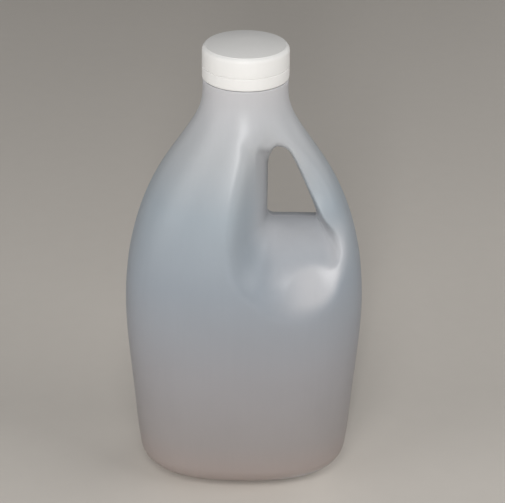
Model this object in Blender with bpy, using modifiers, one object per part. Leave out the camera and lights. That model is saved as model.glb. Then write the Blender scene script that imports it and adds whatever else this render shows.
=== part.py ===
"""A plastic flagon: a blow-moulded bottle with a finger hole and an integral handle, and its screw cap.

The bottle comes from a mould of two equal halves that meet on the plane y = 0. Each half is lofted
from the outline of the finger hole to the outline of the whole bottle, and its depth at every
point is the lesser of the body's depth and the depth of the finger pocket, handle included.
Metres, +Z up, the handle towards +X, the origin at the middle of the base.
"""

import math

import bmesh
import bpy
import numpy as np

MM = 0.001
MERGE_DISTANCE = 0.00001
SHARP_ANGLE = math.radians(40)  # edges sharper than this are not shaded smooth

# Whole bottle
HEIGHT = 0.2220  # floor to the top of the cap
CAP_BOTTOM = 0.2055
GAP = 0.0003  # clearance between cap and bottle

# Body: half width, half depth and squareness of the level section at each height
SECTION_HEIGHTS = np.array([0, 18, 40, 65, 93, 117, 142, 162, 182, 190, 197, 205]) * MM
HALF_WIDTHS = np.array([49.5, 51.8, 53.3, 55.0, 56.3, 54.4, 47.8, 38.2, 25.1, 21.0, 19.3, 19.2]) * MM
HALF_DEPTHS = np.array([31.5, 34.8, 37.8, 39.3, 39.6, 38.8, 35.4, 30.6, 23.8, 21.0, 19.3, 19.2]) * MM
SQUARENESS = np.array([2.5, 2.55, 2.7, 2.85, 2.85, 2.75, 2.5, 2.3, 2.1, 2.0, 2.0, 2.0])  # 2 is an ellipse

# Base
BASE_FILLET = 0.0135  # round the flat that it stands on
BASE_EDGE = BASE_FILLET * (1 - math.pi / 2)  # where that flat begins, measured along the wall

# Neck, and its finish inside the cap
NECK_TOP = CAP_BOTTOM - GAP
FINISH_RADIUS = 0.0180
FINISH_ROOT = 0.004  # how far the finish reaches down into the neck
CAP_ROOF = 0.0015
FINISH_TOP = HEIGHT - CAP_ROOF - GAP

# Finger hole and pocket, in the plane of the mould's joint
HOLE_CENTRE = (0.0205, 0.1520)
HOLE_LEFT = 0.0092
HOLE_TOP = 0.1738
# Its top drops to the left, from the middle of its arch, by this much over this width
ARCH_MIDDLE, ARCH_WIDTH, ARCH_DROP = 0.0150, 0.0062, 0.0050
SILL = 0.1360  # height of the sill's crest, at the bottom of the hole
GRIP_HEIGHTS = np.array([119, 127, 133, 138, 143, 150, 157, 167, 177]) * MM
# The handle's inner edge at each of those heights
GRIP_INNER = np.array([33.0, 34.4, 34.5, 33.7, 32.0, 29.3, 26.4, 22.0, 16.8]) * MM
HOLE_LIMIT = 0.04  # further from its centre than any of its outline
BOWL_RADIUS = 0.0036  # of the hole's lower left corner
TOP_CORNER, SILL_CORNER = 0.010, 0.003  # rounding of its other corners
CORNER_RISE = (0.145, 0.160)  # heights between which that grows along the handle
CORNER_REACH = 0.014  # how far out into the pocket that rounding is felt

# How steeply each wall of the pocket runs out to the front, in depth for each metre across,
# and how softly it starts from the joint plane
LEFT_STEEPNESS, TOP_STEEPNESS, SILL_STEEPNESS = 1.45, 3.0, 1.20
VALLEY_STEEPNESS = 1.6  # of the top wall where it runs out to the left, towards the neck
VALLEY_RANGE = (0.002, 0.012)  # x over which that changes to TOP_STEEPNESS
GRIP_STEEPNESS = np.array([3.0, 2.9, 2.8, 3.0, 4.2, 5.4, 6.0, 6.0, 6.0])  # at each grip height
LEFT_SOFTNESS, TOP_SOFTNESS, SILL_SOFTNESS, GRIP_SOFTNESS = 0.016, 0.003, 0.012, 0.0012
ARCH_BLEND = 0.006  # rounding, as a depth, between the wall over the hole and the handle's
WALL_BLEND = (0.0001, 0.014)  # the same between those and the bowl, least and most
BLEND_GROWTH = 0.95  # of the depth, between that least and most

# The handle's greatest half depth at each height, down to where it has the body's own
HANDLE_HEIGHTS = np.array([120, 132, 142, 155, 170, 182, 190, 200]) * MM
HANDLE_DEPTHS = np.array([55.0, 34.0, 23.0, 16.5, 15.5, 18.5, 22.5, 32.0]) * MM
HANDLE_BLEND = 0.011

# The lip: a slanting band below the sill, which leads the fingers in
LIP_CENTRE = (0.0270, 0.1370)
LIP_LEFT, LIP_RIGHT, LIP_DOWN = 0.0285, 0.0190, 0.0318  # from its centre to its rim
LIP_SQUARENESS = (2.0, 3.0)  # to the left and to the right
LIP_SLOPE = 0.53
LIP_WIDTH = 0.020  # how far in from the rim it slants
LIP_TOP = 0.150  # height at which it fades out, either side of the pocket
LIP_BLEND = 0.006
RIM_BLEND = 0.010  # rounding of the pocket's outer rim, as a depth

# Cap
CAP_RADIUS = 0.0195
CAP_EDGE = 0.0025  # rounding of its top edge
BAND_HEIGHT = 0.0055  # tamper band
BAND_GROOVE = (0.0006, 0.0004)  # height and depth of the groove above it

# Facets, and how the columns fan out: shares of the way round the bottle, and angles about the hole
COLUMNS, INNER_ROWS, OUTER_ROWS = 72, 19, 9
CAP_STEPS, EDGE_STEPS = 64, 6
RING = 0.92  # width of the ring between the net's two sets of rows, as a share of the outline's
SAMPLES = (400, 60)  # points that the outline is measured on: a side, and a quarter of the base
HALVINGS = 40  # steps in finding the hole's outline
SMALLEST = 1e-12  # keeps a share of nothing from dividing by nothing
FAN_SHARES = (0, 0.05, 0.075, 0.1, 0.16, 0.235, 0.375, 0.5, 0.625, 0.75, 0.925, 1)
FAN_ANGLES = (116, 106, 99, 83, -18, -45, -62, -90, -125, -180, -235, -244)


def spline(xs, ys, x):
    """Values at x of the smooth curve (natural cubic spline) through the points xs, ys."""
    step, count = np.diff(xs), len(xs)
    slope = np.diff(ys) / step
    system = np.eye(count)
    inner = np.arange(1, count - 1)
    system[inner, inner - 1], system[inner, inner + 1] = step[:-1], step[1:]
    system[inner, inner] = 2 * (step[:-1] + step[1:])
    bend = np.linalg.solve(system, np.concatenate([[0], 6 * np.diff(slope), [0]]))
    x = np.clip(x, xs[0], xs[-1])
    k = np.clip(np.searchsorted(xs, x) - 1, 0, count - 2)
    t = x - xs[k]
    rise = slope[k] - step[k] * (2 * bend[k] + bend[k + 1]) / 6
    return ys[k] + rise * t + bend[k] * t**2 / 2 + (bend[k + 1] - bend[k]) * t**3 / (6 * step[k])


def least(a, b, blend):
    """The lesser of a and b, with the change from one to the other rounded over blend."""
    near = np.clip(1 - np.abs(a - b) / blend, 0, 1)
    return np.minimum(a, b) - near**3 * blend / 6


def greatest(a, b, blend):
    return -least(-a, -b, blend)


def ease(x):
    """0 to 1, level at both ends."""
    x = np.clip(x, 0, 1)
    return x * x * (3 - 2 * x)


def wall(up):
    """Height, inset and overshoot at up, a distance measured along the wall.

    From the base's fillet to the neck's top up is the height. Below, it follows the fillet's arc,
    and past either end it runs in along the flat face, by the overshoot.
    """
    turn = np.clip((BASE_FILLET - up) / BASE_FILLET, 0, math.pi / 2)
    height = np.clip(up, BASE_FILLET, NECK_TOP) - BASE_FILLET * np.sin(turn)
    inset = BASE_FILLET * (1 - np.cos(turn))
    overshoot = np.maximum(BASE_EDGE - up, 0) + np.maximum(up - NECK_TOP, 0)
    return height, inset, overshoot


def section(height, inset):
    """Half width, half depth and squareness of the level section."""
    wide, deep, square = (
        spline(SECTION_HEIGHTS, values, height) for values in (HALF_WIDTHS, HALF_DEPTHS, SQUARENESS)
    )
    return wide - inset, deep - inset, square


def body_depth(x, height, inset):
    """Depth of the plain body in front of the joint plane, a rounded oblong in each section."""
    wide, deep, square = section(height, inset)
    return deep * np.clip(1 - np.abs(x / wide) ** square, 0, 1) ** (1 / square)


def rounded(depth, softness):
    """A sloping wall's depth, rounded where it starts so that it leaves the plane at a right angle."""
    return np.sign(depth) * np.sqrt(depth**2 + 2 * softness * np.abs(depth))


def pocket_depth(x, z):
    """Depth of the finger pocket's walls, 0 on the hole's outline and negative inside it.

    Each wall starts from a side of the hole and runs out to the front. The deepest counts, but
    the wall over the hole and the handle's go no deeper than the handle is. The left wall and the
    sill are one bowl, which runs out from a corner of BOWL_RADIUS.
    """
    top = z - HOLE_TOP + ARCH_DROP * ease(np.maximum((ARCH_MIDDLE - x) / ARCH_WIDTH, 0) ** 2)
    grip = x - spline(GRIP_HEIGHTS, GRIP_INNER, z)
    across = np.maximum(HOLE_LEFT - x + BOWL_RADIUS, 0)
    down = np.maximum(SILL - z + BOWL_RADIUS, 0)
    bowl = np.hypot(across, down) - BOWL_RADIUS
    share = down**2 / np.maximum(across**2 + down**2, SMALLEST)
    along_handle = ease((z - CORNER_RISE[0]) / (CORNER_RISE[1] - CORNER_RISE[0]))
    grip_corner = SILL_CORNER + (TOP_CORNER - SILL_CORNER) * along_handle
    corners = greatest(greatest(bowl, top, TOP_CORNER), grip, grip_corner)
    widest = np.maximum(np.maximum(bowl, top), grip)
    lift = (corners - widest) * ease(1 - widest / CORNER_REACH)
    steep_bowl = LEFT_STEEPNESS + (SILL_STEEPNESS - LEFT_STEEPNESS) * share
    soft_bowl = LEFT_SOFTNESS + (SILL_SOFTNESS - LEFT_SOFTNESS) * share
    over_hole = ease((x - VALLEY_RANGE[0]) / (VALLEY_RANGE[1] - VALLEY_RANGE[0]))
    steep_top = VALLEY_STEEPNESS + (TOP_STEEPNESS - VALLEY_STEEPNESS) * over_hole
    steep_grip = spline(GRIP_HEIGHTS, GRIP_STEEPNESS, z)
    bowl = rounded(steep_bowl * (bowl + lift), soft_bowl)
    top = rounded(steep_top * (top + lift), TOP_SOFTNESS)
    grip = rounded(steep_grip * (grip + lift), GRIP_SOFTNESS)
    arch = greatest(top, grip, ARCH_BLEND)
    handle = least(arch, spline(HANDLE_HEIGHTS, HANDLE_DEPTHS, z), HANDLE_BLEND)
    blend = np.clip(BLEND_GROWTH * np.maximum(handle, bowl), *WALL_BLEND)
    return greatest(bowl, handle, blend)


def lip_depth(x, z, body):
    """Depth of the slanting lip: the body's, less a share of the distance in from the rim."""
    right = x > LIP_CENTRE[0]
    square = np.where(right, LIP_SQUARENESS[1], LIP_SQUARENESS[0])
    across = np.abs(x - LIP_CENTRE[0]) / np.where(right, LIP_RIGHT, LIP_LEFT)
    down = np.maximum(LIP_CENTRE[1] - z, 0) / LIP_DOWN
    out = (across**square + down**square) ** (1 / square)
    inside = least(greatest(LIP_DOWN * (1 - out), 0, LIP_BLEND), LIP_WIDTH, LIP_BLEND)
    return body - LIP_SLOPE * inside * ease((LIP_TOP - z) / LIP_WIDTH)


def depth(x, up):
    """Depth in front of the joint plane at x and up along the wall."""
    height, inset, overshoot = wall(up)
    outer = lip_depth(x, height, body_depth(x, height, inset))
    return least(outer, pocket_depth(x, height), RIM_BLEND) - overshoot


def bottle_outline(count):
    """Points x, up evenly round the bottle, from the middle of its top through +X, base and -X."""
    up = np.linspace(BASE_EDGE, NECK_TOP, SAMPLES[0])
    height, inset, _ = wall(up)
    side = section(height, inset)[0]
    angle = np.linspace(0, math.pi / 2, SAMPLES[1])
    low, high = side[0] * np.cos(angle), side[-1] * np.cos(angle)
    down = body_depth(low, 0, BASE_FILLET)
    x = np.concatenate([high[::-1], side[::-1], low])
    up = np.concatenate([NECK_TOP + high[0] * np.sin(angle)[::-1], up[::-1], BASE_EDGE - down])
    x, up = np.concatenate([x, -x[::-1]]), np.concatenate([up, up[::-1]])
    along = np.concatenate([[0], np.cumsum(np.hypot(np.diff(x), np.diff(up)))])
    keep = np.concatenate([[True], np.diff(along) > 0])
    even = along[-1] * np.arange(count) / count
    return np.interp(even, along[keep], x[keep]), np.interp(even, along[keep], up[keep])


def hole_outline(angle):
    """Points x, z of the hole's outline at each angle about its centre, found by halving."""
    near, far = np.zeros_like(angle), np.full_like(angle, HOLE_LIMIT)
    for _ in range(HALVINGS):
        middle = (near + far) / 2
        x, z = HOLE_CENTRE[0] + middle * np.cos(angle), HOLE_CENTRE[1] + middle * np.sin(angle)
        open_here = pocket_depth(x, z) < 0
        near, far = np.where(open_here, middle, near), np.where(open_here, far, middle)
    return HOLE_CENTRE[0] + near * np.cos(angle), HOLE_CENTRE[1] + near * np.sin(angle)


def loft_front():
    """Vertices and faces of the front half, a net from the hole's outline to the bottle's.

    A column runs straight from a point of the hole to one of a ring just inside the outline, and
    on to the outline. The ring lies on the edges of the base and the neck's top. The rows crowd
    together at both ends of a column, where the surface turns in to the joint plane.
    """
    edge_x, edge_up = bottle_outline(COLUMNS)
    ring_x, ring_up = RING * edge_x, np.clip(edge_up, BASE_FILLET, NECK_TOP)
    angle = np.radians(np.interp(np.arange(COLUMNS) / COLUMNS, FAN_SHARES, FAN_ANGLES))
    hole_x, hole_z = hole_outline(angle)
    near = 1 - np.cos(math.pi / 2 * np.arange(INNER_ROWS) / INNER_ROWS)[:, None]
    far = np.sin(math.pi / 2 * np.arange(OUTER_ROWS + 1) / OUTER_ROWS)[:, None]
    x = np.concatenate([hole_x + (ring_x - hole_x) * near, ring_x + (edge_x - ring_x) * far])
    up = np.concatenate([hole_z + (ring_up - hole_z) * near, ring_up + (edge_up - ring_up) * far])
    y = -depth(x, up)
    y[[0, -1]] = 0
    points = np.stack([x, y, wall(up)[0]], axis=-1).reshape(-1, 3)
    row, column = np.meshgrid(np.arange(len(x) - 1), np.arange(COLUMNS), indexing="ij")
    following = (column + 1) % COLUMNS
    corners = [row * COLUMNS + column, row * COLUMNS + following]
    corners += [(row + 1) * COLUMNS + following, (row + 1) * COLUMNS + column]
    return points, np.stack(corners, axis=-1).reshape(-1, 4)


def plastic(name, colour, roughness):
    material = bpy.data.materials.new(name)
    material.use_nodes = True
    shader = material.node_tree.nodes["Principled BSDF"]
    shader.inputs["Base Color"].default_value = (*colour, 1)
    shader.inputs["Roughness"].default_value = roughness
    shader.inputs["Metallic"].default_value = 0
    return material


def add_object(name, mesh, material):
    part = bpy.data.objects.new(name, mesh)
    collection.objects.link(part)
    mesh.materials.append(material)
    return part


def settle(part):
    """Makes the modifiers' result the object's own mesh, smooth but for its sharp edges."""
    mesh = bpy.data.meshes.new_from_object(part.evaluated_get(bpy.context.evaluated_depsgraph_get()))
    part.modifiers.clear()
    part.data = mesh
    mesh.shade_smooth()
    mesh.set_sharp_from_angle(angle=SHARP_ANGLE)
    return part


def make_finish():
    """The plain round finish inside the cap, joined to the bottle."""
    foot = NECK_TOP - FINISH_ROOT
    tall, radius = FINISH_TOP - foot, FINISH_RADIUS
    mesh = bpy.data.meshes.new("finish")
    shape = bmesh.new()
    bmesh.ops.create_cone(
        shape, cap_ends=True, segments=CAP_STEPS, radius1=radius, radius2=radius, depth=tall
    )
    bmesh.ops.translate(shape, verts=shape.verts, vec=(0, 0, (FINISH_TOP + foot) / 2))
    shape.to_mesh(mesh)
    shape.free()
    finish = bpy.data.objects.new("finish", mesh)
    joined.objects.link(finish)
    finish.hide_render = True
    finish.display_type = "WIRE"
    return finish


def make_bottle():
    points, faces = loft_front()
    mesh = bpy.data.meshes.new("bottle")
    mesh.from_pydata(points.tolist(), [], faces.tolist())
    bottle = add_object("bottle", mesh, plastic("milky polyethylene", (0.55, 0.57, 0.60), 0.35))
    mirror = bottle.modifiers.new("other half", "MIRROR")
    mirror.use_axis = (False, True, False)
    mirror.merge_threshold = MERGE_DISTANCE
    union = bottle.modifiers.new("finish", "BOOLEAN")
    union.operation = "UNION"
    union.solver = "EXACT"
    union.object = make_finish()
    return settle(bottle)


def cap_profile():
    """The cap's section from its middle out, down the outside, in under the skirt and back."""
    inner = FINISH_RADIUS + GAP
    band = CAP_BOTTOM + BAND_HEIGHT
    high, deep = BAND_GROOVE
    turn = np.linspace(math.pi / 2, 0, EDGE_STEPS + 1)
    middle = (CAP_RADIUS - CAP_EDGE, HEIGHT - CAP_EDGE)
    edge = [(middle[0] + CAP_EDGE * math.cos(a), middle[1] + CAP_EDGE * math.sin(a)) for a in turn]
    skirt = [(CAP_RADIUS, band + high), (CAP_RADIUS - deep, band + high), (CAP_RADIUS - deep, band)]
    skirt += [(CAP_RADIUS, band), (CAP_RADIUS, CAP_BOTTOM), (inner, CAP_BOTTOM)]
    roof = [(inner, HEIGHT - CAP_ROOF), (0, HEIGHT - CAP_ROOF)]
    return [(0, HEIGHT), *edge, *skirt, *roof]


def make_cap():
    profile = cap_profile()
    mesh = bpy.data.meshes.new("cap")
    edges = [(i, i + 1) for i in range(len(profile) - 1)]
    mesh.from_pydata([(x, 0, z) for x, z in profile], edges, [])
    cap = add_object("cap", mesh, plastic("white polyethylene", (0.86, 0.85, 0.83), 0.4))
    screw = cap.modifiers.new("turn", "SCREW")
    screw.steps = screw.render_steps = CAP_STEPS
    screw.use_merge_vertices = True
    screw.merge_threshold = MERGE_DISTANCE
    return settle(cap)


for old in list(bpy.data.objects):
    bpy.data.objects.remove(old)
collection = bpy.data.collections.new("plastic flagon")
bpy.context.scene.collection.children.link(collection)
joined = bpy.data.collections.new("joined shapes")
bpy.context.scene.collection.children.link(joined)
make_bottle()
make_cap()
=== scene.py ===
# %% [markdown]
# # A plastic flagon
# A blow-moulded bottle of milky polyethylene, with a finger hole, a handle that is part of the
# same wall, and a white screw cap. This lesson dresses the plain solids of the part: it makes a
# fine shell for the bottle, a turned cap, the lines that the mould leaves, and two plastics.
# The first step loads the solids, which say where everything is.

# %% Load the solids
import math

import bpy
import numpy as np
from mathutils import Matrix, Vector


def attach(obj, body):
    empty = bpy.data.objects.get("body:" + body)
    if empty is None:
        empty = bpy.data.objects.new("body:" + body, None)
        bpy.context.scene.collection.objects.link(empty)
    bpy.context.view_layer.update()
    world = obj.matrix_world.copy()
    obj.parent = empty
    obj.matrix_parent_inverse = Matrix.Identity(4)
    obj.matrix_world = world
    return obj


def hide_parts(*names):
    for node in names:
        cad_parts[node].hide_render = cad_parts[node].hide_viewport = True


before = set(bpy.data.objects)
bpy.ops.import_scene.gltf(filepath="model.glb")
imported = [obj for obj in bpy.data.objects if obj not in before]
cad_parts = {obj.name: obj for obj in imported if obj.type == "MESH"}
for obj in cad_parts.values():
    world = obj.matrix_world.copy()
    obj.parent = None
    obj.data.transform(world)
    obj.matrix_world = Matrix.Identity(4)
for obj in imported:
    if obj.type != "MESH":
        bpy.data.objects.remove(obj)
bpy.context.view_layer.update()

MM = 0.001

# %% [markdown]
# ## The camera
# A product is often shown from a little above, from the height of a person who sits at the table.
# The camera could be turned by three angles, but it is easier to say where it looks, how far away
# it is and how steeply it looks down, and to build its axes from that. A long lens keeps the
# upright sides of the flagon nearly parallel.

# %% Place the camera
TARGET = Vector((0.0039, 0, 0.1168))
DISTANCE = 0.7
LOOK_DOWN = math.radians(28.15)
LEAN = math.radians(0.62)  # a hand-held camera is rarely quite level
FOCAL_LENGTH, SENSOR_WIDTH = 105.36, 36  # in millimetres, as on a real camera


def camera_axes(down, lean):
    """Right, up and back of a view down +Y that is tilted by down, then turned by lean."""
    ahead = Vector((0, math.cos(down), -math.sin(down)))
    right, up = Vector((1, 0, 0)), Vector((0, math.sin(down), math.cos(down)))
    turned_right = right * math.cos(lean) + up * math.sin(lean)
    turned_up = up * math.cos(lean) - right * math.sin(lean)
    return turned_right, turned_up, -ahead


axes = camera_axes(LOOK_DOWN, LEAN)
lens = bpy.data.cameras.new("camera")
lens.lens, lens.sensor_width = FOCAL_LENGTH, SENSOR_WIDTH
lens.clip_start, lens.clip_end = 0.01, 50
camera = bpy.data.objects.new("camera", lens)
camera.matrix_world = Matrix(axes).transposed().to_4x4()
camera.location = TARGET + axes[2] * DISTANCE
bpy.context.scene.collection.objects.link(camera)
bpy.context.scene.camera = camera
print("camera at", [round(v, 3) for v in camera.location])

# %% [markdown]
# ## From arrays to a mesh
# Every piece below is a grid of points that numpy works out at once: rows one way, columns the
# other. The grid closes on itself across the columns, as a ring does. One helper joins the points
# with four-sided faces and hands them to Blender, so that the later steps are only about shape.

# %% Helpers for grids and meshes
pieces = bpy.data.collections.new("plastic flagon")
bpy.context.scene.collection.children.link(pieces)


def ring_faces(index):
    """Faces between the rows of an index grid whose columns close on themselves."""
    nearer, further = index[:-1], index[1:]
    corners = [nearer, np.roll(nearer, -1, 1), np.roll(further, -1, 1), further]
    return np.stack(corners, axis=-1).reshape(-1, 4)


def make_piece(name, points, faces, pinch_light=None):
    """A smooth mesh object at the origin; a face may repeat a corner where the grid meets a pole.

    The last argument is a number from 0 to 1 for each point, which the plastic's colour reads:
    a share of painted light, whiter near the pocket.
    """
    used, loops = np.unique(faces, return_inverse=True)
    points, loops = np.asarray(points)[used], loops.reshape(np.shape(faces))
    keep = loops != np.roll(loops, 1, axis=1)
    counts = keep.sum(axis=1)
    mesh = bpy.data.meshes.new(name)
    mesh.vertices.add(len(points))
    mesh.vertices.foreach_set("co", points.astype(np.float32).ravel())
    mesh.loops.add(int(counts.sum()))
    mesh.loops.foreach_set("vertex_index", loops[keep].astype(np.int32))
    mesh.polygons.add(len(counts))
    starts = np.concatenate([[0], np.cumsum(counts)[:-1]])
    mesh.polygons.foreach_set("loop_start", starts.astype(np.int32))
    mesh.update(calc_edges=True)
    mesh.validate()
    mesh.shade_smooth()
    if pinch_light is not None:
        values = np.broadcast_to(pinch_light, used.max() + 1)[used].astype(np.float32)
        mesh.attributes.new("pinch_light", "FLOAT", "POINT").data.foreach_set("value", values)
    piece = bpy.data.objects.new(name, mesh)
    pieces.objects.link(piece)
    print(f"{name}: {len(points)} points, {len(counts)} faces")
    return piece


# %% [markdown]
# ## The body's sections
# Cut the bottle level anywhere and the cut is a rounded oblong: a superellipse, which is an
# ellipse whose power 2 is raised to make it squarer. Three curves up the bottle say how wide, how
# deep and how square it is. The curves are splines through a few measured heights, so the wall
# swells and narrows with no breaks.

# %% Measures of the body
SECTION_HEIGHTS = np.array([0, 18, 40, 65, 93, 117, 142, 162, 182, 190, 197, 205]) * MM
HALF_WIDTHS = MM * np.array(
    [49.5, 51.8, 53.3, 55.0, 56.3, 54.4, 47.8, 38.2, 25.1, 21.0, 19.3, 19.2])
HALF_DEPTHS = MM * np.array(
    [31.5, 34.8, 37.8, 39.3, 39.6, 38.8, 35.4, 30.6, 23.8, 21.0, 19.3, 19.2])
SQUARENESS = np.array([2.5, 2.55, 2.7, 2.85, 2.85, 2.75, 2.5, 2.3, 2.1, 2.0, 2.0, 2.0])
NECK_TOP = 0.2052
BASE_FILLET = 0.0135  # round the flat that it stands on
BASE_EDGE = BASE_FILLET * (1 - math.pi / 2)  # where that flat begins, measured along the wall
print("widest", 2 * HALF_WIDTHS.max(), "m, deepest", 2 * HALF_DEPTHS.max(), "m")


# %% Sections of the body
def spline(xs, ys, x):
    """The natural cubic spline through xs, ys: cubics whose slopes and bends agree at each knot."""
    step, count = np.diff(xs), len(xs)
    slope = np.diff(ys) / step
    system = np.eye(count)
    inner = np.arange(1, count - 1)
    system[inner, inner - 1], system[inner, inner + 1] = step[:-1], step[1:]
    system[inner, inner] = 2 * (step[:-1] + step[1:])
    bend = np.linalg.solve(system, np.concatenate([[0], 6 * np.diff(slope), [0]]))
    x = np.clip(x, xs[0], xs[-1])
    k = np.clip(np.searchsorted(xs, x) - 1, 0, count - 2)
    t = x - xs[k]
    rise = slope[k] - step[k] * (2 * bend[k] + bend[k + 1]) / 6
    return ys[k] + rise * t + bend[k] * t**2 / 2 + (bend[k + 1] - bend[k]) * t**3 / (6 * step[k])


def wall(up):
    """Height, inset and overshoot at up, the distance measured along the wall.

    From the base's fillet to the neck's top up is the height. Below, it follows the fillet's
    quarter circle, and past either end it runs in along the flat face, by the overshoot.
    """
    turn = np.clip((BASE_FILLET - up) / BASE_FILLET, 0, math.pi / 2)
    height = np.clip(up, BASE_FILLET, NECK_TOP) - BASE_FILLET * np.sin(turn)
    inset = BASE_FILLET * (1 - np.cos(turn))
    overshoot = np.maximum(BASE_EDGE - up, 0) + np.maximum(up - NECK_TOP, 0)
    return height, inset, overshoot


def section(height, inset):
    """Half width, half depth and squareness of the level section."""
    wide = spline(SECTION_HEIGHTS, HALF_WIDTHS, height)
    deep = spline(SECTION_HEIGHTS, HALF_DEPTHS, height)
    return wide - inset, deep - inset, spline(SECTION_HEIGHTS, SQUARENESS, height)


def body_depth(x, height, inset):
    """Depth before the joint plane: deep * (1 - |x / wide| ** n) ** (1 / n), n the squareness."""
    wide, deep, square = section(height, inset)
    return deep * np.clip(1 - np.abs(x / wide) ** square, 0, 1) ** (1 / square)


print("depth at mid height:", round(float(body_depth(0.0, 0.110, 0.0)), 4), "m")

# %% [markdown]
# ## The finger pocket
# The mould pinches the wall together round the finger hole, and four walls run out from the
# hole's sides to the front: the body's side on the left, a short arch on top, the handle on the
# right and a sloping sill below. The front surface is the lesser of two depths, the plain body's
# and the pocket's. A plain minimum would leave knife edges, so it is rounded with a cubic.


# %% Rounded least and greatest
def least(a, b, blend):
    """The lesser of a and b, less blend / 6 * (1 - |a - b| / blend) ** 3 where they are close."""
    near = np.clip(1 - np.abs(a - b) / blend, 0, 1)
    return np.minimum(a, b) - near**3 * blend / 6


def greatest(a, b, blend):
    """The greater of a and b, rounded in the same way."""
    return -least(-a, -b, blend)


def joined(a, b):
    """(a ** 4 + b ** 4) ** (1 / 4) of what is above 0, or the greater where neither is."""
    wider = np.maximum(a, b)
    both = (np.maximum(a, 0) ** 4 + np.maximum(b, 0) ** 4) ** 0.25
    return np.where(wider > 0, both, wider)


def rounded(depth, softness):
    """sqrt(d * d + 2 * s * d): a slope that leaves the joint plane at a right angle."""
    return np.sign(depth) * np.sqrt(depth**2 + 2 * softness * np.abs(depth))


print("two depths of 10 mm, joined over 6 mm:", round(float(least(10.0, 10.0, 6.0)), 2), "mm")


# %% Shares that fade in and out
def ease(x):
    """0 to 1 as x goes from 0 to 1, level at both ends: x * x * (3 - 2 * x)."""
    x = np.clip(x, 0, 1)
    return x * x * (3 - 2 * x)


def fade(x, start, full):
    """0 at start and 1 at full, which may be the lesser: ease((x - start) / (full - start))."""
    return ease((x - start) / (full - start))


def between(low, high, share):
    """low where share is 0, high where it is 1."""
    return low + (high - low) * share


print("a quarter of the way a fade has reached", float(fade(0.25, 0, 1)))

# %% Measures of the finger hole
HOLE_CENTRE = (0.0205, 0.1520)
HOLE_LEFT, HOLE_TOP, SILL = 0.0105, 0.1738, 0.1360
ARCH_MIDDLE, ARCH_HALF, ARCH_DROP = 0.0172, 0.0067, 0.0036  # the arch comes down to the left
GRIP_HEIGHTS = np.array([119, 127, 133, 138, 143, 150, 157, 167, 177]) * MM
GRIP_INNER = np.array([33.0, 34.4, 34.5, 33.7, 32.0, 29.3, 26.4, 22.0, 16.8]) * MM
BOWL_RADIUS = 0.0036  # of the lower left corner
TOP_CORNER, GRIP_CORNER, SILL_CORNER = 0.010, 0.0055, 0.003  # roundings of the others
GRIP_CORNER_UP = (0.145, 0.160)  # heights over which the sill's corner gives way to the grip's
CORNER_REACH = 0.014  # how far from the hole its corners are still felt
print("finger hole:", round(HOLE_TOP - SILL, 4), "m high, from x =", HOLE_LEFT, "m")


# %% Distances from the hole
def hole_distances(x, z):
    """Distances outwards from the hole's walls: bowl, top, grip, and the rounded greatest of them.

    The left wall and the sill are one bowl: its distance is that from a corner of BOWL_RADIUS,
    sqrt(l * l + s * s) - radius, where l and s are the two walls' distances plus the radius.
    Also gives the sill's share of the bowl, s * s / (l * l + s * s).
    """
    top = z - HOLE_TOP + ARCH_DROP * ease(np.maximum((ARCH_MIDDLE - x) / ARCH_HALF, 0) ** 2)
    grip = x - spline(GRIP_HEIGHTS, GRIP_INNER, z)
    across = np.maximum(HOLE_LEFT - x + BOWL_RADIUS, 0)
    down = np.maximum(SILL - z + BOWL_RADIUS, 0)
    bowl = np.hypot(across, down) - BOWL_RADIUS
    sill_share = down**2 / np.maximum(across**2 + down**2, 1e-12)
    grip_corner = between(SILL_CORNER, GRIP_CORNER, fade(z, *GRIP_CORNER_UP))
    corners = greatest(greatest(bowl, top, TOP_CORNER), grip, grip_corner)
    return bowl, top, grip, corners, sill_share


# %% [markdown]
# ## Walls of the pocket
# Each wall is a slope that starts on the hole's outline. Below, the bowl and the handle's inner
# side are two slopes that meet in a fold. Round the arch a fold would show as a crease, so there
# one slope goes all the way round, and only its steepness changes from wall to wall. The two
# halves hand over to one another at mid height.

# %% Measures of the walls
LEFT_STEEPNESS, TOP_STEEPNESS, SILL_STEEPNESS = 1.45, 3.0, 1.20
LEFT_SOFTNESS, TOP_SOFTNESS, SILL_SOFTNESS, GRIP_SOFTNESS = 0.016, 0.003, 0.012, 0.0012
GRIP_STEEPNESS = np.array([3.0, 2.9, 2.8, 3.0, 4.2, 5.4, 6.0, 6.0, 6.0])  # at GRIP_HEIGHTS
VALLEY_STEEPNESS = 1.7  # of the top wall where it runs out to the left, towards the neck
VALLEY_ACROSS = (0.002, 0.016)
HANDLE_HEIGHTS = np.array([120, 132, 142, 155, 170, 182, 190, 200]) * MM
HANDLE_DEPTHS = np.array([55.0, 34.0, 23.0, 16.5, 15.5, 18.5, 22.5, 32.0]) * MM
HANDLE_BLEND = 0.011  # where the inner side rolls over to the handle's face
FOLD_SHARE, FOLD_LEAST, FOLD_MOST = 0.95, 0.0001, 0.014  # rounding where bowl and handle meet
SADDLE_DEPTH, SADDLE_SLOPE = 0.0085, 0.36  # fills the left wall towards the neck
SADDLE_LOW, SADDLE_WIDTH = 0.150, 0.006
NECK_RISE = 0.012  # how far the handle's depth rises to the left, where it runs into the neck
NECK_ACROSS = (0.014, -0.006)
RIDGE_RISE = 0.030  # and lower down, so that it doesn't reach the ridge beside the pocket
RIDGE_ACROSS, RIDGE_UP = (0.010, 0.0), (0.186, 0.162)
SHARE_WIDTH = 0.016  # difference of distances over which one wall hands over to the next
HAND_OVER = (0.150, 0.160)  # heights over which the lower half hands over to the upper
print("the handle is", 2 * HANDLE_DEPTHS.min(), "m thick where it is thinnest")


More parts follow.
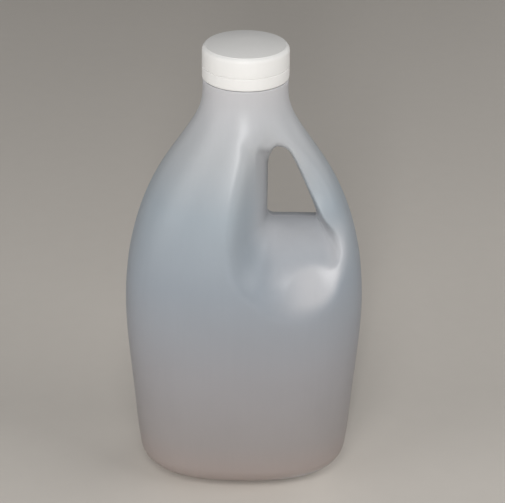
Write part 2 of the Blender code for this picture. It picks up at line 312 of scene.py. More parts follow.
# %% Lower and upper walls
def lower_pocket(z, bowl, grip, lift, sill_share):
    """Bowl and grip, each rounded(steepness * distance), and the rounded greatest of both."""
    steepness = between(LEFT_STEEPNESS, SILL_STEEPNESS, sill_share)
    softness = between(LEFT_SOFTNESS, SILL_SOFTNESS, sill_share)
    floor = rounded(steepness * (bowl + lift), softness)
    handle = rounded(spline(GRIP_HEIGHTS, GRIP_STEEPNESS, z) * (grip + lift), GRIP_SOFTNESS)
    handle = least(handle, spline(HANDLE_HEIGHTS, HANDLE_DEPTHS, z), HANDLE_BLEND)
    fold = np.clip(FOLD_SHARE * np.maximum(handle, floor), FOLD_LEAST, FOLD_MOST)
    return greatest(floor, handle, fold)


def upper_pocket(x, z, bowl, top, grip, distance):
    """One rounded(steepness * distance) round the arch; the walls share it by how near each is.

    A saddle fills its left side towards the neck, and it is never deeper than the handle.
    """
    top_share = ease(0.5 + (top - np.maximum(bowl, grip)) / SHARE_WIDTH)
    grip_share = ease(0.5 + (grip - bowl) / SHARE_WIDTH)
    side = between(LEFT_STEEPNESS, spline(GRIP_HEIGHTS, GRIP_STEEPNESS, z), grip_share)
    over = between(VALLEY_STEEPNESS, TOP_STEEPNESS, fade(x, *VALLEY_ACROSS))
    side_softness = between(LEFT_SOFTNESS, GRIP_SOFTNESS, grip_share)
    softness = between(side_softness, TOP_SOFTNESS, top_share)
    walls = rounded(between(side, over, top_share) * distance, softness)
    saddle = (SADDLE_DEPTH + SADDLE_SLOPE * (z - SADDLE_LOW)) * ease(bowl / SADDLE_WIDTH)
    walls = np.where(walls > 0, joined(walls, saddle), walls)
    limit = spline(HANDLE_HEIGHTS, HANDLE_DEPTHS, z) + NECK_RISE * fade(x, *NECK_ACROSS)
    limit = limit + RIDGE_RISE * fade(z, *RIDGE_UP) * fade(x, *RIDGE_ACROSS)
    return least(walls, limit, HANDLE_BLEND)


def pocket_depth(x, z):
    """Depth of the pocket's walls, 0 on the hole's outline and less inside it."""
    bowl, top, grip, corners, sill_share = hole_distances(x, z)
    widest = np.maximum(np.maximum(bowl, top), grip)
    lift = (corners - widest) * ease(1 - widest / CORNER_REACH)
    lower = lower_pocket(z, bowl, grip, lift, sill_share)
    upper = upper_pocket(x, z, bowl, top, grip, widest + lift)
    return between(lower, upper, fade(z, *HAND_OVER))


sill_depth = pocket_depth(np.array([0.020]), np.array([SILL - 0.010]))[0]
print("10 mm below the hole the sill is", round(float(sill_depth), 4), "m deep")

# %% [markdown]
# ## The lip, and the whole front
# Below the sill the body's wall leans in towards the pocket, so that the fingers find their way:
# a lip in the shape of half an oval. It is a slope that starts on the oval and is taken off the
# body's depth, with a shallow groove just outside it.

# %% The lip below the sill
LIP_CENTRE, LIP_DOWN = (0.0270, 0.1370), 0.0336
LIP_LEFT, LIP_RIGHT = 0.0285, 0.0196  # its reach to the left, and towards the handle
LEFT_POWER, RIGHT_POWER = 2.0, 3.0  # how square the oval is on either side
LIP_SLOPE, LIP_WIDTH, LIP_TOP, LIP_BLEND = 0.52, 0.020, 0.150, 0.0032
GROOVE_DEPTH, GROOVE_WIDTH = 0.0013, 0.10  # the width is a share of the oval
GROOVE_ACROSS = (0.050, 0.010)


def lip_depth(x, z, body):
    """The body's depth less LIP_SLOPE times the distance in from an oval round the pocket.

    The oval is an ellipse on its left half and a squarer one, of power 3, towards the handle.
    """
    handle_side = x > LIP_CENTRE[0]
    across = np.abs(x - LIP_CENTRE[0]) / np.where(handle_side, LIP_RIGHT, LIP_LEFT)
    down = np.maximum(LIP_CENTRE[1] - z, 0) / LIP_DOWN
    power = np.where(handle_side, RIGHT_POWER, LEFT_POWER)
    out = (across**power + down**power) ** (1 / power)
    inside = least(greatest(LIP_DOWN * (1 - out), 0, LIP_BLEND), LIP_WIDTH, LIP_BLEND)
    groove = GROOVE_DEPTH * np.exp(-(((out - 1) / GROOVE_WIDTH) ** 2)) * fade(x, *GROOVE_ACROSS)
    return body - (LIP_SLOPE * inside + groove) * ease((LIP_TOP - z) / LIP_WIDTH)


print("the lip leans in by up to", round(LIP_SLOPE * LIP_WIDTH, 4), "m")

# %% The whole front
RIM_BLEND = 0.0085  # rounding of the pocket's outer rim, as a depth
ROLL_BLEND = 0.014  # where the handle rolls over into the pocket
ROLL_ACROSS, ROLL_UP = (0.030, 0.038), (0.152, 0.142)
CREASE_BLEND = 0.0012  # and where the sill meets the lip, towards the handle
CREASE_ACROSS, CREASE_UP = (0.016, 0.024), (0.128, 0.122)


def front_depth(x, up):
    """Depth of the shell: the rounded least of lip and pocket, less the overshoot."""
    height, inset, overshoot = wall(up)
    outer = lip_depth(x, height, body_depth(x, height, inset))
    roll = fade(x, *ROLL_ACROSS) * fade(height, *ROLL_UP)
    crease = fade(x, *CREASE_ACROSS) * fade(height, *CREASE_UP)
    blend = between(between(RIM_BLEND, ROLL_BLEND, roll), CREASE_BLEND, crease)
    return least(outer, pocket_depth(x, height), blend) - overshoot


# %% [markdown]
# ## A net from the hole to the outline
# The front half is a flat net with one hole, pushed out by its depth. Columns run from points on
# the hole's outline to points on the bottle's, and rows crowd together at both ends, where the
# wall turns in to the joint plane. The base and the neck's top are unrolled, so the same net
# covers them. The back half is the mirror image and shares the points on the joint plane.

# %% The bottle's outline
OUTLINE_STEPS, END_STEPS = 1200, 200  # how finely the side and the flat ends are measured


def bottle_outline(count):
    """Points x, up evenly round the bottle, from the middle of its top through +X, base and -X."""
    up = np.linspace(BASE_EDGE, NECK_TOP, OUTLINE_STEPS)
    height, inset, _ = wall(up)
    side = section(height, inset)[0]
    angle = np.linspace(0, math.pi / 2, END_STEPS)
    low, high = side[0] * np.cos(angle), side[-1] * np.cos(angle)
    x = np.concatenate([high[::-1], side[::-1], low])
    over = NECK_TOP + high[0] * np.sin(angle)[::-1]
    up = np.concatenate([over, up[::-1], BASE_EDGE - body_depth(low, 0, BASE_FILLET)])
    x, up = np.concatenate([x, -x[::-1]]), np.concatenate([up, up[::-1]])
    along = np.concatenate([[0], np.cumsum(np.hypot(np.diff(x), np.diff(up)))])
    keep = np.concatenate([[True], np.diff(along) > 0])
    even = along[-1] * np.arange(count) / count
    return np.interp(even, along[keep], x[keep]), np.interp(even, along[keep], up[keep])


# %% The hole's outline
HOLE_REACH, HALVINGS = 0.04, 40  # no point of the outline is further from the hole's centre


def hole_outline(angle):
    """Points x, z of the hole's outline at each angle about its centre, found by halving."""
    near, far = np.zeros_like(angle), np.full_like(angle, HOLE_REACH)
    for _ in range(HALVINGS):
        middle = (near + far) / 2
        x, z = HOLE_CENTRE[0] + middle * np.cos(angle), HOLE_CENTRE[1] + middle * np.sin(angle)
        open_here = pocket_depth(x, z) < 0
        near, far = np.where(open_here, middle, near), np.where(open_here, far, middle)
    return HOLE_CENTRE[0] + near * np.cos(angle), HOLE_CENTRE[1] + near * np.sin(angle)


# %% The base's push-up
PUSH_UP, PUSH_UP_OUT = 0.0035, (0.86, 0.52)  # its height, and the shares of the flat it rises over


def push_up(x, y):
    """How far the base is dished: PUSH_UP, faded in from the flat's edge to its middle."""
    wide, deep, square = section(0, BASE_FILLET)
    out = (np.abs(x / wide) ** square + np.abs(y / deep) ** square) ** (1 / square)
    return PUSH_UP * fade(out, *PUSH_UP_OUT)


# %% [markdown]
# ## Where the walls come close together
# Thin plastic lies over thin plastic round the pocket, and light that comes through one wall
# meets the next, so the pinched places look whiter than the open body. That whiteness is painted
# into the colour: partly the thicker plastic there, partly painted bounced light on the pocket's
# walls and sill, and painted highlights on the lip and where the handle rolls over. Each point of
# the shell carries one number for this, which its colour reads later.

# %% The pinch
# Shares of painted light: bounced light on the pocket walls and sill, highlights on lip and roll.
POCKET_GLOW, SILL_GLOW, LIP_HIGHLIGHT, ROLL_HIGHLIGHT = 0.60, 0.30, 0.62, 0.60
POCKET_RECESS, SILL_RECESS, LIP_RECESS = 0.006, 0.008, 0.003  # set back by this they count in full
POCKET_UP, POCKET_THIN = (0.095, 0.105), (0.027, 0.009)
GRIP_SPARED, GRIP_ACROSS, GRIP_UP = 0.8, (0.018, 0.026), (0.140, 0.150)
SILL_ACROSS, SILL_UP = (0.006, 0.016), (0.140, 0.125)
LIP_ACROSS, LIP_UP = (0.012, 0.032), (0.126, 0.120)
ROLL_MIDDLE, ROLL_REACH = (0.043, 0.130), 0.008


def pinch_light_of(x, y, z):
    """0 on the plain body, more where a wall of the pocket is close to the joint plane.

    Painted light: the pocket's walls get painted bounced light, the sill a share of its own, and
    the lip and the handle's roll-over painted highlights; the handle's face is mostly spared.
    Shares join as 1 - (1 - a) * (1 - b), so that they never pass 1.
    """
    recess = body_depth(x, z, 0) - np.abs(y)
    spared = GRIP_SPARED * fade(x, *GRIP_ACROSS) * fade(z, *GRIP_UP)
    thin = fade(np.abs(y), *POCKET_THIN) * fade(z, *POCKET_UP)
    pocket = ease(recess / POCKET_RECESS) * thin * (1 - spared)
    sill = ease(recess / SILL_RECESS) * fade(x, *SILL_ACROSS) * fade(z, *SILL_UP)
    lip = ease(recess / LIP_RECESS) * fade(x, *LIP_ACROSS) * fade(z, *LIP_UP)
    roll = ease(1 - np.hypot(x - ROLL_MIDDLE[0], (z - ROLL_MIDDLE[1]) / 2) / ROLL_REACH)
    plain = (1 - POCKET_GLOW * pocket) * (1 - SILL_GLOW * sill)
    return 1 - plain * (1 - LIP_HIGHLIGHT * lip) * (1 - ROLL_HIGHLIGHT * roll)


# %% Loft the shell
COLUMNS, INNER_ROWS, OUTER_ROWS = 320, 96, 40
RING = 0.92  # the inner rows end on the outline drawn in to this share of its width
FAN_SHARES = (0, 0.05, 0.075, 0.1, 0.16, 0.235, 0.375, 0.5, 0.625, 0.75, 0.925, 1)
FAN_ANGLES = (116, 106, 99, 83, -18, -45, -62, -90, -125, -180, -235, -244)


def loft_shell():
    """Points, faces and pinch of both halves; the first and last row lie on the joint plane.

    Column c leaves the hole at the angle that FAN_ANGLES gives for the share c / COLUMNS. The
    third result is each point's share of painted light: bounced light and highlights near the
    pocket.
    """
    edge_x, edge_up = bottle_outline(COLUMNS)
    ring_x, ring_up = RING * edge_x, np.clip(edge_up, BASE_FILLET, NECK_TOP)
    angle = np.radians(np.interp(np.arange(COLUMNS) / COLUMNS, FAN_SHARES, FAN_ANGLES))
    hole_x, hole_z = hole_outline(angle)
    near = 1 - np.cos(math.pi / 2 * np.arange(INNER_ROWS) / INNER_ROWS)[:, None]
    far = np.sin(math.pi / 2 * np.arange(OUTER_ROWS + 1) / OUTER_ROWS)[:, None]
    x = np.concatenate([between(hole_x, ring_x, near), between(ring_x, edge_x, far)])
    up = np.concatenate([between(hole_z, ring_up, near), between(ring_up, edge_up, far)])
    y = -front_depth(x, up)
    y[[0, -1]] = 0
    z = wall(up)[0] + np.where(up < BASE_EDGE, push_up(x, y), 0)
    front = np.stack([x, y, z], axis=-1)
    back = front[1:-1] * np.array([1, -1, 1])
    index = np.arange(x.size).reshape(x.shape)
    behind = index.copy()
    behind[1:-1] = x.size + np.arange(back[..., 0].size).reshape(back.shape[:2])
    faces = np.concatenate([ring_faces(index), ring_faces(behind)[:, ::-1]])
    points = np.concatenate([front.reshape(-1, 3), back.reshape(-1, 3)])
    return points, faces, pinch_light_of(*points.T)


shell = make_piece("bottle_shell", *loft_shell())

# %% [markdown]
# ## The parting line
# The two halves of a mould never close perfectly, and the plastic that creeps between them stands
# up as a fine line all round the joint plane, also inside the finger hole. It could be pulled out
# of the shell's own net, but a thin bead carried along the outline is easier to size: its
# section is a low arch, set at right angles to the path at every point.

# %% A bead carried along a path
BEAD_HEIGHT, BEAD_HALF_WIDTH, HOLE_HALF_WIDTH = 0.00014, 0.0003, 0.00048
FEET_SUNK, UNDERSIDE_SUNK = 0.00005, 0.0003  # how deep it lies in the wall
ARCH_STEPS = 7


def carried_bead(path, high, half_width):
    """A closed ring whose section is the arch (s, high * (1 - s * s)), sunk a little at its feet.

    high may differ from point to point of the path.
    """
    ahead = np.roll(path, -1, 0) - np.roll(path, 1, 0)
    out = np.stack([-ahead[:, 1], ahead[:, 0]], axis=-1)
    out /= np.linalg.norm(out, axis=1, keepdims=True)
    s = np.linspace(-1, 1, ARCH_STEPS)
    arch = np.append(1 - s**2, 0)
    sunk = np.append(np.full(ARCH_STEPS, FEET_SUNK), UNDERSIDE_SUNK)
    rise = np.broadcast_to(high, len(path))[:, None] * arch - sunk
    points = np.empty((*rise.shape, 3))
    points[..., 0] = path[:, None, 0] + out[:, None, 0] * rise
    points[..., 1] = np.append(s * half_width, 0)
    points[..., 2] = path[:, None, 1] + out[:, None, 1] * rise
    index = np.arange(points[..., 0].size).reshape(points.shape[:2])
    index = np.concatenate([index, index[:1]])
    return points.reshape(-1, 3), ring_faces(index)[:, ::-1]


# %% Beads on both outlines
OUTER_COUNT, HOLE_COUNT = 900, 240
FLOOR_CLEARANCE = (0.0002, 0.0012)  # heights over which the bead rises, so the base stays flat


def outer_path(count):
    """The bottle's outline as x, z, with the base's push-up."""
    x, up = bottle_outline(count)
    flat = up < BASE_EDGE
    height = wall(up)[0] + np.where(flat, push_up(x, 0 * x), 0)
    on_wall = np.sign(x) * np.minimum(np.abs(x), section(height, 0)[0])
    return np.stack([np.where(flat | (up > NECK_TOP), on_wall, x), height], axis=-1)


path = outer_path(OUTER_COUNT)
bead_height = BEAD_HEIGHT * fade(path[:, 1], *FLOOR_CLEARANCE)
seam = make_piece("parting_line", *carried_bead(path, bead_height, BEAD_HALF_WIDTH), pinch_light=0)
turn = np.radians(np.linspace(0, 360, HOLE_COUNT, endpoint=False))
hole_path = np.stack(hole_outline(turn), axis=-1)
hole_bead = carried_bead(hole_path, BEAD_HEIGHT, HOLE_HALF_WIDTH)
scar = make_piece("hole_parting_line", *hole_bead, pinch_light=1)

# %% [markdown]
# ## Turned pieces
# The cap and the threaded finish under it are round, so each is a profile of radius and height
# that goes round the upright axis. The profile is one row of numbers, the angle the other, and
# any ring may be pushed in or out by a third function: that is how the thread and the little
# bridges of the tamper band are made.

# %% A profile of straight runs and rounded corners
CAP_BOTTOM, HEIGHT = 0.2055, 0.2220
CAP_RADIUS = 0.0195
STEPS, CORNER_STEPS = 192, 6
print("the cap is", round(HEIGHT - CAP_BOTTOM, 4), "m high and", 2 * CAP_RADIUS, "m across")


def rounded_profile(corners):
    """Corners (r, z, radius) joined by straight runs, each corner a curve of that reach.

    A corner's curve is a quadratic one: (1-t)^2 * before + 2t(1-t) * corner + t^2 * after.
    """
    corner = np.array([c[:2] for c in corners])
    reach = np.array([c[2] for c in corners])[1:-1, None]
    back, on = corner[:-2] - corner[1:-1], corner[2:] - corner[1:-1]
    before = corner[1:-1] + back / np.linalg.norm(back, axis=1, keepdims=True) * reach
    after = corner[1:-1] + on / np.linalg.norm(on, axis=1, keepdims=True) * reach
    t = np.linspace(0, 1, CORNER_STEPS + 1)[:, None, None]
    curve = (1 - t) ** 2 * before + 2 * t * (1 - t) * corner[1:-1] + t**2 * after
    curve = curve.transpose(1, 0, 2).reshape(-1, 2)
    return np.concatenate([corner[:1], curve, corner[-1:]])


def turned(profile, push):
    """x = r cos a, y = r sin a, z, with r + push(a, r, z); a point of radius 0 becomes one pole.

    A profile that ends where it began is closed into a ring.
    """
    angle = np.linspace(0, 2 * math.pi, STEPS, endpoint=False)
    r, z = profile[:, :1] + 0 * angle, profile[:, 1:] + 0 * angle
    r = r + push(angle[None], r, z)
    points = np.stack([r * np.cos(angle), r * np.sin(angle), z], axis=-1)
    index = np.arange(r.size).reshape(r.shape)
    pole = profile[:, 0] == 0
    index[pole] = index[pole][:, :1]
    if np.allclose(profile[0], profile[-1]):
        index[-1] = index[0]
    return points.reshape(-1, 3), ring_faces(index)[:, ::-1]


# %% The cap
BAND_TOP, BAND_GAP, BAND_CUT = CAP_BOTTOM + 0.0055, 0.0005, 0.0004  # the cut above the band
CUT_BOTTOM = CAP_RADIUS - BAND_CUT
CAP_BORE, CAP_UNDERSIDE = 0.0183, HEIGHT - 0.0015
BRIDGES, BRIDGE_ENDS = 16, (0.09, 0.05)  # shares of the way from one bridge to the next
BRIDGE_SET_BACK = 0.0001
EDGE = 0.0001  # the cut's corners are this far from its middle

cap_corners = [  # radius, height and reach of the rounding
    (0, HEIGHT, 0), (0.0055, HEIGHT, 0.0028), (0.0120, HEIGHT - 0.0006, 0.0032),
    (CAP_RADIUS - 0.0001, HEIGHT - 0.0018, 0.0024), (CAP_RADIUS, BAND_TOP + BAND_GAP, 0.0002),
    (CUT_BOTTOM, BAND_TOP + BAND_GAP - EDGE, EDGE), (CUT_BOTTOM, BAND_TOP + EDGE, EDGE),
    (CAP_RADIUS, BAND_TOP, 0.0002), (CAP_RADIUS, CAP_BOTTOM, 0.0008),
    (CAP_BORE, CAP_BOTTOM, 0.0003), (CAP_BORE, CAP_UNDERSIDE, 0.0006), (0, CAP_UNDERSIDE, 0),
]


def bridges(angle, r, z):
    """Fills the cut at each bridge: its depth, faded in by how near the bridge's middle is."""
    turn = np.abs(np.mod(angle * BRIDGES / (2 * math.pi), 1) - 0.5)
    in_cut = (z > BAND_TOP) & (z < BAND_TOP + BAND_GAP) & (r > CAP_BORE)
    return np.where(in_cut, (BAND_CUT - BRIDGE_SET_BACK) * fade(turn, *BRIDGE_ENDS), 0)


cap = make_piece("screw_cap", *turned(rounded_profile(cap_corners), bridges))

# %% [markdown]
# ## The finish
# Under the cap the neck ends in its finish: a round tube with a helical thread. The cap hides
# it, but a shell needs its neck to go on into the cap, and anyone who takes the cap away will
# look for the thread.

# %% The threaded finish
FINISH_RADIUS, FINISH_TOP, FINISH_FOOT = 0.0172, 0.2200, NECK_TOP - 0.002
THREAD_START, THREAD_PITCH = NECK_TOP + 0.0035, 0.0042
THREAD_HIGH, THREAD_SIDE = 0.0007, (0.00096, 0.00036)  # its side, as distances from its crest
THREAD_TURNS, THREAD_FADE = 1.6, 0.15


def thread(angle, r, z):
    """A ridge along z = start + pitch * a / 2 pi, for THREAD_TURNS, fading at its ends."""
    turns = (z - THREAD_START) / THREAD_PITCH - angle / (2 * math.pi)
    nearest = np.clip(np.round(turns), 0, 1)
    along = nearest + angle / (2 * math.pi)
    ends = ease(along / THREAD_FADE) * ease((THREAD_TURNS - along) / THREAD_FADE)
    away = np.abs(turns - nearest) * THREAD_PITCH
    outside = r > FINISH_RADIUS - 0.0001
    return np.where(outside, THREAD_HIGH * ends * fade(away, *THREAD_SIDE), 0)


rise = np.linspace(FINISH_FOOT, FINISH_TOP - 0.0006, 60)
outer = np.stack([0 * rise + FINISH_RADIUS, rise], axis=-1)
inner = np.array([
    (FINISH_RADIUS - 0.0006, FINISH_TOP), (FINISH_RADIUS - 0.0012, FINISH_TOP - 0.0004),
    (FINISH_RADIUS - 0.0013, FINISH_FOOT),
])
tube = np.concatenate([outer, inner, outer[:1]])[::-1]
finish = make_piece("threaded_finish", *turned(tube, thread))

# %% [markdown]
# ## Helpers for materials
# A material is a small tree of nodes. Writing each node and each link on a line of its own soon
# hides what the tree does, so one helper makes a node, sets it up and joins it in one go. Effects
# that both plastics share are node groups with named sockets: each is built once, and each
# material gives it its own values.


# %% Nodes and groups
def add_node(tree, kind, inputs=None, **settings):
    """A new node; inputs gives each socket a value, or a socket to be linked from."""
    node = tree.nodes.new("ShaderNode" + kind)
    for name, value in settings.items():
        setattr(node, name, value)
    for key, value in (inputs or {}).items():
        if isinstance(value, bpy.types.NodeSocket):
            tree.links.new(value, node.inputs[key])
        else:
            node.inputs[key].default_value = value
    return node


def new_group(name, inputs, outputs):
    """An empty node group with named sockets, its inputs with their starting values."""
    tree = bpy.data.node_groups.new(name, "ShaderNodeTree")
    sockets = tree.interface
    for label, kind, value in inputs:
        socket = sockets.new_socket(name=label, in_out="INPUT", socket_type="NodeSocket" + kind)
        socket.default_value = value
    for label, kind in outputs:
        sockets.new_socket(name=label, in_out="OUTPUT", socket_type="NodeSocket" + kind)
    given, result = tree.nodes.new("NodeGroupInput"), tree.nodes.new("NodeGroupOutput")
    return tree, given.outputs, result.inputs


def place_group(tree, group, inputs):
    """The outputs of a group in a material's tree, with this material's own values."""
    return add_node(tree, "Group", inputs, node_tree=group).outputs


# %% Sums, noises and mixed colours
def math_node(tree, operation, a, b):
    """One sum of two numbers or sockets."""
    return add_node(tree, "Math", {0: a, 1: b}, operation=operation).outputs[0]


def noise(tree, place, scale, detail):
    """A noise from 0 to 1 at the given place."""
    inputs = {"Vector": place, "Scale": scale, "Detail": detail}
    return add_node(tree, "TexNoise", inputs).outputs["Fac"]


def mix_colours(tree, share, low, high, blend="MIX"):
    """A Mix node whose colours go by number, because its numbers and vectors share their names."""
    inputs = {0: share, 6: low, 7: high}
    return add_node(tree, "Mix", inputs, data_type="RGBA", blend_type=blend).outputs[2]


# %% [markdown]
# ## Mottled plastic
# A blown wall is never even. It is a little whiter where it stayed thick and greyer where it was
# stretched, in soft clouds a few centimetres across, and the die that squeezed out the tube of
# hot plastic leaves faint upright streaks. Two noises do this: a round one for the clouds, and
# one that is drawn out upwards for the streaks. Both multiply the colour.

# %% The mottle group
DRAWN_OUT = (1, 1, 0.03)  # a noise read at a small share of the height is long upwards


def make_mottle():
    """Color * (1 + Clouds * (noise - 1/2) + Streaks * (drawn-out noise - 1/2))."""
    tree, given, result = new_group(
        "mottle",
        [("Color", "Color", (0.5, 0.5, 0.5, 1)), ("Cloud Scale", "Float", 30.0),
         ("Clouds", "Float", 0.1), ("Streak Scale", "Float", 400.0), ("Streaks", "Float", 0.05)],
        [("Color", "Color")],
    )
    place = add_node(tree, "TexCoord").outputs["Object"]
    clouds = noise(tree, place, given["Cloud Scale"], 3.0)
    drawn = add_node(tree, "VectorMath", {0: place, 1: DRAWN_OUT}, operation="MULTIPLY")
    streaks = noise(tree, drawn.outputs[0], given["Streak Scale"], 2.0)
    parts = []
    for pattern, amount in ((clouds, "Clouds"), (streaks, "Streaks")):
        centred = math_node(tree, "SUBTRACT", pattern, 0.5)
        parts.append(math_node(tree, "MULTIPLY", centred, given[amount]))
    factor = math_node(tree, "ADD", math_node(tree, "ADD", *parts), 1.0)
    tint = add_node(tree, "CombineColor", {0: factor, 1: factor, 2: factor}).outputs[0]
    mixed = mix_colours(tree, 1.0, given["Color"], tint, blend="MULTIPLY")
    tree.links.new(mixed, result["Color"])
    return tree


mottle = make_mottle()
print("mottle:", [socket.name for socket in mottle.interface.items_tree])

# %% [markdown]
# ## Satin grain
# Steel moulds for such bottles are blasted with grit so that air can get out, and the plastic
# takes on their fine grain. It scatters the gloss into a soft sheen. The grain is a fine noise
# used as a height for a bump, over broader waves, and the roughness drifts a little from place to
# place.

# %% The grain group
WAVE_SCALE, WAVE_SHARE, DRIFT_SCALE = 120.0, 1.5, 55.0


def make_grain():
    """Height from fine noise + WAVE_SHARE * waves; roughness + Drift * (broad noise - 1/2)."""
    tree, given, result = new_group(
        "satin_grain",
        [("Grain Scale", "Float", 1500.0), ("Roughness", "Float", 0.4), ("Drift", "Float", 0.1)],
        [("Roughness", "Float"), ("Height", "Float")],
    )
    place = add_node(tree, "TexCoord").outputs["Object"]
    fine = noise(tree, place, given["Grain Scale"], 2.0)
    waves = noise(tree, place, WAVE_SCALE, 1.0)
    broad = noise(tree, place, DRIFT_SCALE, 3.0)
    centred = math_node(tree, "SUBTRACT", broad, 0.5)
    drift = math_node(tree, "MULTIPLY", centred, given["Drift"])
    tree.links.new(math_node(tree, "ADD", drift, given["Roughness"]), result["Roughness"])
    swell = math_node(tree, "MULTIPLY", waves, WAVE_SHARE)
    tree.links.new(math_node(tree, "ADD", fine, swell), result["Height"])
    return tree


grain = make_grain()
print("satin_grain:", [socket.name for socket in grain.interface.items_tree])

# %% [markdown]
# ## Milky polyethylene
# The bottle's plastic lets light through but no picture: light goes into the front wall, bounces
# about inside and comes out again everywhere, so that shadows on it are pale. A Translucent BSDF
# mixed with the usual one does that on a thin shell at little cost. The colour rests on the
# height: nearly white at the thick neck and greyer down the stretched body, partly painted shade
# low down, with a bluish painted reflection over the body and a brownish painted reflection near
# the base. Where the walls come close together, the pinch numbers make it whiter: painted bounced
# light in the pocket and painted highlights on the lip and the handle's roll-over.

# %% Tones of the bottle
# Partly the plastic, whiter where the neck is thick, and partly painted light: painted shade low
# down, a bluish painted reflection on the body and a brownish one at the base.
WALL_AND_REFLECTION_TONES = (
    (0.000, (0.570, 0.450, 0.400)), (0.030, (0.480, 0.440, 0.430)), (0.070, (0.465, 0.455, 0.475)),
    (0.115, (0.440, 0.490, 0.550)), (0.150, (0.515, 0.585, 0.645)), (0.175, (0.665, 0.690, 0.715)),
    (0.205, (0.850, 0.840, 0.860)),
)
# The first is the white that the painted light near the pocket mixes in; the second is the
# translucent shader's colour.
PINCH_LIGHT_TONE, THROUGH_TONE = (0.86, 0.85, 0.87, 1), (0.50, 0.51, 0.52, 1)
THROUGH = 0.40  # share of the translucent shader
MILKY_MOTTLE = {"Cloud Scale": 28.0, "Clouds": 0.10, "Streak Scale": 420.0, "Streaks": 0.05}
MILKY_GRAIN = {"Grain Scale": 1500.0, "Roughness": 0.34, "Drift": 0.08}
MILKY_BUMP = 0.12


def height_colour(tree, tones):
    """The tones as a colour ramp over the height, from the floor to the neck's top."""
    place = add_node(tree, "TexCoord").outputs["Object"]
    height = add_node(tree, "SeparateXYZ", {0: place}).outputs["Z"]
    share = add_node(tree, "MapRange", {0: height, 1: 0.0, 2: NECK_TOP}).outputs[0]
    ramp = add_node(tree, "ValToRGB", {0: share})
    stops = ramp.color_ramp.elements
    for count, (z, colour) in enumerate(tones):
        stop = stops[count] if count < 2 else stops.new(z / NECK_TOP)
        stop.position, stop.color = min(z / NECK_TOP, 1), (*colour, 1)
    return ramp.outputs[0]


# %% Materials and their sheen
GRAIN_HEIGHT = 0.0002


def new_material(name):
    """An empty tree with its Principled BSDF and output."""
    material = bpy.data.materials.new(name)
    material.use_nodes = True
    nodes = material.node_tree.nodes
    return material, material.node_tree, nodes["Principled BSDF"], nodes["Material Output"]


def add_sheen(tree, shader, grain_values, strength):
    """The grain into Roughness and, as a Bump, into Normal; returns the bump's normal."""
    sheen = place_group(tree, grain, grain_values)
    inputs = {"Strength": strength, "Distance": GRAIN_HEIGHT, "Height": sheen["Height"]}
    bump = add_node(tree, "Bump", inputs).outputs[0]
    tree.links.new(sheen["Roughness"], shader.inputs["Roughness"])
    tree.links.new(bump, shader.inputs["Normal"])
    return bump


# %% The bottle's material
def make_milky():
    """Height ramp, then pinch, then mottle into Base Color; grain; both shaders mixed."""
    material, tree, shader, output = new_material("milky polyethylene")
    # The ramp paints reflections by height; the pinch share, mixed in next, paints bounced light
    # and highlights near the pocket.
    ramp = height_colour(tree, WALL_AND_REFLECTION_TONES)
    near = add_node(tree, "Attribute", attribute_name="pinch_light").outputs["Fac"]
    painted_glow = mix_colours(tree, near, ramp, PINCH_LIGHT_TONE)
    colour = place_group(tree, mottle, {"Color": painted_glow, **MILKY_MOTTLE})
    tree.links.new(colour["Color"], shader.inputs["Base Color"])
    bump = add_sheen(tree, shader, MILKY_GRAIN, MILKY_BUMP)
    through = add_node(tree, "BsdfTranslucent", {"Color": THROUGH_TONE, "Normal": bump})
    shaders = {0: THROUGH, 1: shader.outputs[0], 2: through.outputs[0]}
    both = add_node(tree, "MixShader", shaders)
    tree.links.new(both.outputs[0], output.inputs["Surface"])
    print(f"{material.name}: {len(tree.nodes)} nodes")
    return material


milky = make_milky()

# %% [markdown]
# ## White polyethylene
# The cap is injected, not blown, and full of white pigment: no light shows through, it hardly
# mottles, and its grain is finer and less glossy.

# %% The cap's material
WHITE_TONE = (0.80, 0.79, 0.77, 1)
WHITE_MOTTLE = {"Cloud Scale": 60.0, "Clouds": 0.05, "Streak Scale": 500.0, "Streaks": 0.02}
WHITE_GRAIN = {"Grain Scale": 2200.0, "Roughness": 0.48, "Drift": 0.12}
WHITE_BUMP = 0.10


def make_white():
    """The same two groups with quieter values, on an opaque shader."""
    material, tree, shader, _ = new_material("white polyethylene")
    colour = place_group(tree, mottle, {"Color": WHITE_TONE, **WHITE_MOTTLE})
    tree.links.new(colour["Color"], shader.inputs["Base Color"])
    add_sheen(tree, shader, WHITE_GRAIN, WHITE_BUMP)
    print(f"{material.name}: {len(tree.nodes)} nodes")
    return material


white = make_white()

# %% [markdown]
# ## Hand the pieces over
# Every piece is hung on the body it moves with and takes its material, and the solid of the part
# that it stands for is hidden. The flagon has no joints, so all of it rides on the one body.

# %% Dress the pieces
for piece, slot, material in (
    (shell, "bottle", milky), (seam, "bottle", milky), (scar, "bottle", milky),
    (finish, "bottle", milky), (cap, "cap", white),
):
    piece.data.materials.append(material)
    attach(piece, "root")
    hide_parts(slot)
    print(piece.name, "takes", material.name)

# %% [markdown]
# ## Floor and light
# A plain pale floor and soft light leave the plastic to speak for itself. The floor is a touch
# warm, and the base picks that up on top of the warm reflection painted into its colour. A small
# low lamp in front draws the narrow highlights on the ridge and the lip, where the colour paints
# more highlight, and two soft boxes above it reach the shoulder and the top of the cap. A large one
# on each side carries the light round to the edges. Two more stand behind, low down, because
# light from the back shines through thin plastic and keeps it from looking solid.

# %% The floor
FLOOR_HALF = 4.0
BOARD_TONE, BOARD_ROUGHNESS = (0.62, 0.58, 0.53, 1), 0.75
BOARD_MOTTLE = {"Cloud Scale": 4.0, "Clouds": 0.06, "Streak Scale": 90.0, "Streaks": 0.03}


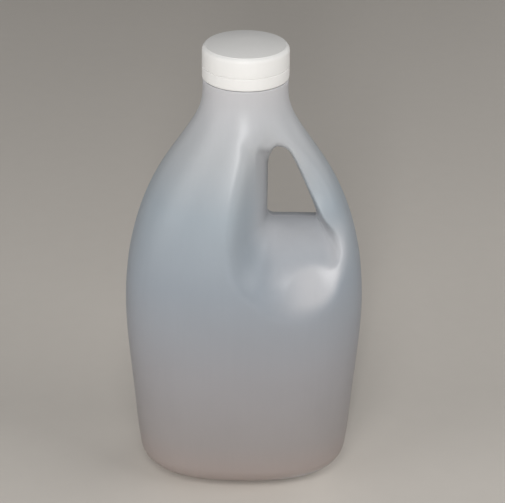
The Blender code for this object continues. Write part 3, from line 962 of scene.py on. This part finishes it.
def make_floor():
    """A large square whose board colour drifts a little."""
    material, tree, shader, _ = new_material("pale board")
    colour = place_group(tree, mottle, {"Color": BOARD_TONE, **BOARD_MOTTLE})
    tree.links.new(colour["Color"], shader.inputs["Base Color"])
    shader.inputs["Roughness"].default_value = BOARD_ROUGHNESS
    mesh = bpy.data.meshes.new("floor")
    corners = FLOOR_HALF * np.array([(-1, -1, 0), (1, -1, 0), (1, 1, 0), (-1, 1, 0)])
    mesh.from_pydata(corners.tolist(), [], [(0, 1, 2, 3)])
    floor = bpy.data.objects.new("floor", mesh)
    bpy.context.scene.collection.objects.link(floor)
    mesh.materials.append(material)


make_floor()

# %% The lights
LAMPS = (  # azimuth from the front and elevation in degrees, distance and size in m, power in W
    ("gloss", -3, 18, 1.4, 0.20, 8.0),
    ("key_low", -5, 35, 1.4, 0.35, 1.0),
    ("key_high", -5, 50, 1.4, 0.5, 4.9),
    ("left_fill", -65, 18, 1.3, 0.8, 4.6),
    ("right_fill", 70, 30, 1.3, 0.8, 5.5),
    ("back_left", -140, 15, 1.5, 0.9, 2.0),
    ("back_right", 130, 18, 1.5, 0.9, 4.0),
)
AIM = Vector((0, 0, 0.12))


def place_lamp(name, azimuth, elevation, distance, size, power):
    """An area lamp on a sphere round the flagon's middle, turned to face it."""
    turn, lift = math.radians(azimuth), math.radians(elevation)
    ahead, aside = -math.cos(turn) * math.cos(lift), math.sin(turn) * math.cos(lift)
    away = Vector((aside, ahead, math.sin(lift)))
    lamp = bpy.data.lights.new(name, "AREA")
    lamp.size, lamp.energy = size, power
    light = bpy.data.objects.new(name, lamp)
    light.location = AIM + away * distance
    light.rotation_euler = away.to_track_quat("Z", "Y").to_euler()
    bpy.context.scene.collection.objects.link(light)


for lamp_row in LAMPS:
    place_lamp(*lamp_row)
print(len(LAMPS), "lamps,", sum(row[-1] for row in LAMPS), "W")

# %% The room's own light
world = bpy.data.worlds.new("world")
world.use_nodes = True
background = world.node_tree.nodes["Background"]
background.inputs["Color"].default_value = (0.5, 0.5, 0.5, 1)
background.inputs["Strength"].default_value = 0.06
bpy.context.scene.world = world
bpy.context.scene.view_settings.view_transform = "Standard"  # tones as they are, with no film look
